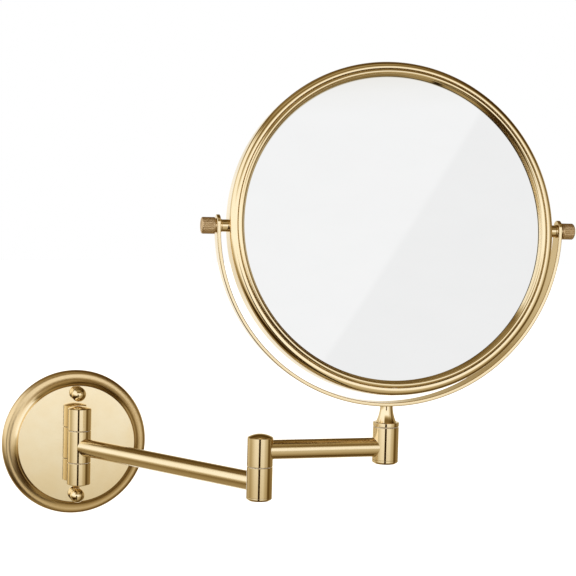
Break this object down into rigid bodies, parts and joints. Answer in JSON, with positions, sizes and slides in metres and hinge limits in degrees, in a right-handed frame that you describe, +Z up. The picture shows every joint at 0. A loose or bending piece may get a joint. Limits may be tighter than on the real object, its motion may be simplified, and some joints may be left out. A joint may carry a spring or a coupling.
{
  "type": "extendable shaving mirror",
  "caption": "Round double-sided mirror on a yoke with thumb knobs, carried by a two-piece swing arm with barrel hinges on a round wall base.",
  "frame": {"origin": "centre of the round base where it meets the wall", "axes": "+Y into the wall, +Z up, +X to the right seen from the room; the arm reaches out along -Y"},
  "size_m": [0.3353, 0.1988, 0.31],
  "materials": {
    "polished_brass_plate": "mirror polished, gold coloured",
    "polished_brass": "polished, gold coloured",
    "satin_brass": "satin, brushed along the tube",
    "yoke_brass": "polished, gold coloured",
    "frame_brass": "polished, gold coloured",
    "knurled_brass": "matte, finely knurled",
    "zinc_steel": "zinc plated, dull",
    "steel": "turned steel",
    "nylon": "natural nylon",
    "rubber_seal": "matte",
    "backing_plastic": "matte",
    "plain_mirror": "silvered glass",
    "magnifying_mirror": "silvered dished glass"
  },
  "bodies": {
    "wall_base": {"wall_bracket": "zinc_steel", "bracket_studs": "zinc_steel", "stud_nuts": "zinc_steel", "plate_gasket": "rubber_seal", "wall_plate": "polished_brass_plate", "ball_nuts": "polished_brass", "upper_knuckle": "polished_brass", "lower_knuckle": "polished_brass", "knuckle_screws": "steel", "hinge_pin": "steel", "hinge_plug": "polished_brass", "hinge_washers": "nylon"},
    "inner_arm": {"inner_knuckle": "polished_brass", "inner_arm_tube": "satin_brass", "elbow_lower_barrel": "polished_brass", "elbow_spring_washer": "steel", "elbow_cap": "polished_brass", "elbow_washer": "nylon"},
    "outer_arm": {"elbow_upper_barrel": "polished_brass", "elbow_bolt": "steel", "outer_arm_tube": "satin_brass", "end_barrel": "polished_brass", "end_cap": "polished_brass", "swivel_washer": "nylon", "spindle_washer": "steel"},
    "yoke_assembly": {"swivel_stem": "polished_brass", "swivel_spindle": "steel", "spindle_nut": "steel", "yoke_screw": "steel", "yoke": "yoke_brass", "knob_washers": "yoke_brass"},
    "mirror_head": {"frame_hoop": "frame_brass", "front_bezel": "frame_brass", "rear_bezel": "frame_brass", "front_gasket": "rubber_seal", "rear_gasket": "rubber_seal", "plain_mirror": "plain_mirror", "magnifying_mirror": "magnifying_mirror", "backing_board": "backing_plastic", "spacer_ring": "backing_plastic", "frame_bosses": "frame_brass", "pivot_washers": "frame_brass"},
    "left_thumbscrew": {"left_knob": "knurled_brass", "left_stud": "steel"},
    "right_thumbscrew": {"right_knob": "knurled_brass", "right_stud": "steel"}
  },
  "joints": [
    {"name": "base_swing", "type": "hinge", "parent": "wall_base", "child": "inner_arm", "pos_m": [0, -0.0237, 0], "axis": [0, 0, 1], "range_deg": [-120, 60]},
    {"name": "elbow_swing", "type": "hinge", "parent": "inner_arm", "child": "outer_arm", "pos_m": [0.085, -0.17092, 0.0204], "axis": [0, 0, 1], "continuous": true},
    {"name": "head_swivel", "type": "hinge", "parent": "outer_arm", "child": "yoke_assembly", "pos_m": [0.16597, -0.17304, 0.0204], "axis": [0, 0, 1], "continuous": true},
    {"name": "mirror_tilt", "type": "hinge", "parent": "yoke_assembly", "child": "mirror_head", "pos_m": [0.16597, -0.17304, 0.157], "axis": [0.9962, -0.0872, 0], "continuous": true},
    {"name": "left_knob_turn", "type": "hinge", "parent": "mirror_head", "child": "left_thumbscrew", "pos_m": [0.05141, -0.16302, 0.157], "axis": [-0.9962, 0.0872, 0], "range_deg": [0, 180]},
    {"name": "right_knob_turn", "type": "hinge", "parent": "mirror_head", "child": "right_thumbscrew", "pos_m": [0.28053, -0.18307, 0.157], "axis": [0.9962, -0.0872, 0], "range_deg": [0, 180]}
  ]
}
